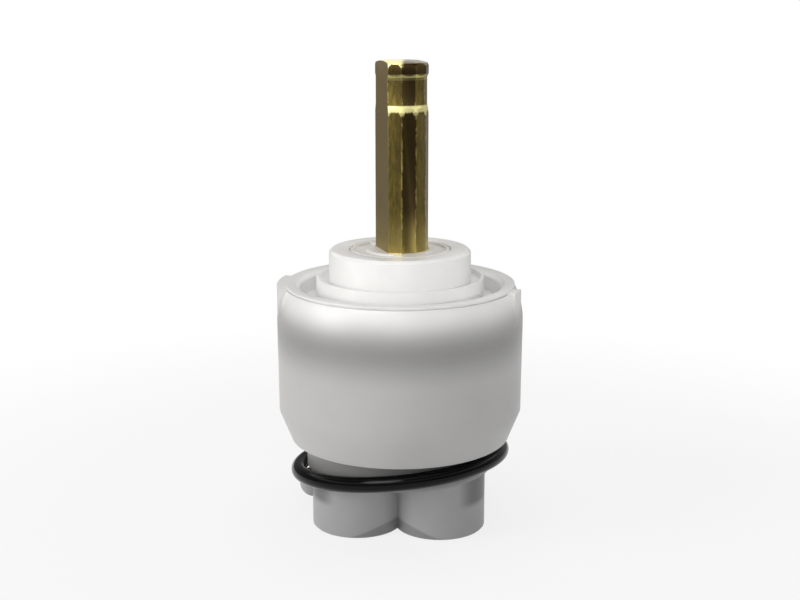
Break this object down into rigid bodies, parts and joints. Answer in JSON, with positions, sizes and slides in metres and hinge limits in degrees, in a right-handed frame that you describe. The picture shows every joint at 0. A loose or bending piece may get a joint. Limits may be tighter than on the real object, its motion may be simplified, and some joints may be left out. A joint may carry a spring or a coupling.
{
  "type": "ceramic disc tap cartridge",
  "caption": "Turning ceramic disc cartridge for a mixer tap: white barrel with a hub, twelve-sided brass stem with a drive flat, neck O-ring and fused port tubes.",
  "frame": {"origin": "on the stem's axis, in the plane of the port tube ends", "axes": "+Z along the stem, away from the ports; the outlet port lies towards +Y and the cold inlet towards -X"},
  "size_m": [0.04, 0.04, 0.0754],
  "materials": {
    "white_acetal": "satin moulded",
    "base_acetal": "satin moulded",
    "spindle_acetal": "satin moulded",
    "brass": "turned",
    "black_rubber": "satin",
    "neck_rubber": "greased",
    "washer_plastic": "matt",
    "stop_plastic": "matt",
    "carrier_plastic": "matt",
    "moving_ceramic": "lapped",
    "fixed_ceramic": "lapped"
  },
  "bodies": {
    "cartridge_body": {"housing": "white_acetal", "port_base": "base_acetal", "thrust_washer": "washer_plastic", "stop_ring": "stop_plastic", "fixed_disc": "fixed_ceramic", "cold_disc_seal": "black_rubber", "hot_disc_seal": "black_rubber", "outlet_disc_seal": "black_rubber", "cold_port_seal": "black_rubber", "hot_port_seal": "black_rubber", "outlet_port_seal": "black_rubber", "neck_o_ring": "neck_rubber", "housing_o_ring": "black_rubber"},
    "turning_stem": {"stem": "brass", "stem_o_ring": "black_rubber", "spindle": "spindle_acetal", "spindle_upper_o_ring": "black_rubber", "spindle_lower_o_ring": "black_rubber", "disc_carrier": "carrier_plastic", "moving_disc": "moving_ceramic"}
  },
  "joints": [
    {"name": "stem_turn", "type": "hinge", "parent": "cartridge_body", "child": "turning_stem", "pos_m": [0, 0, 0.0455], "axis": [0, 0, 1], "range_deg": [0, 236]}
  ]
}
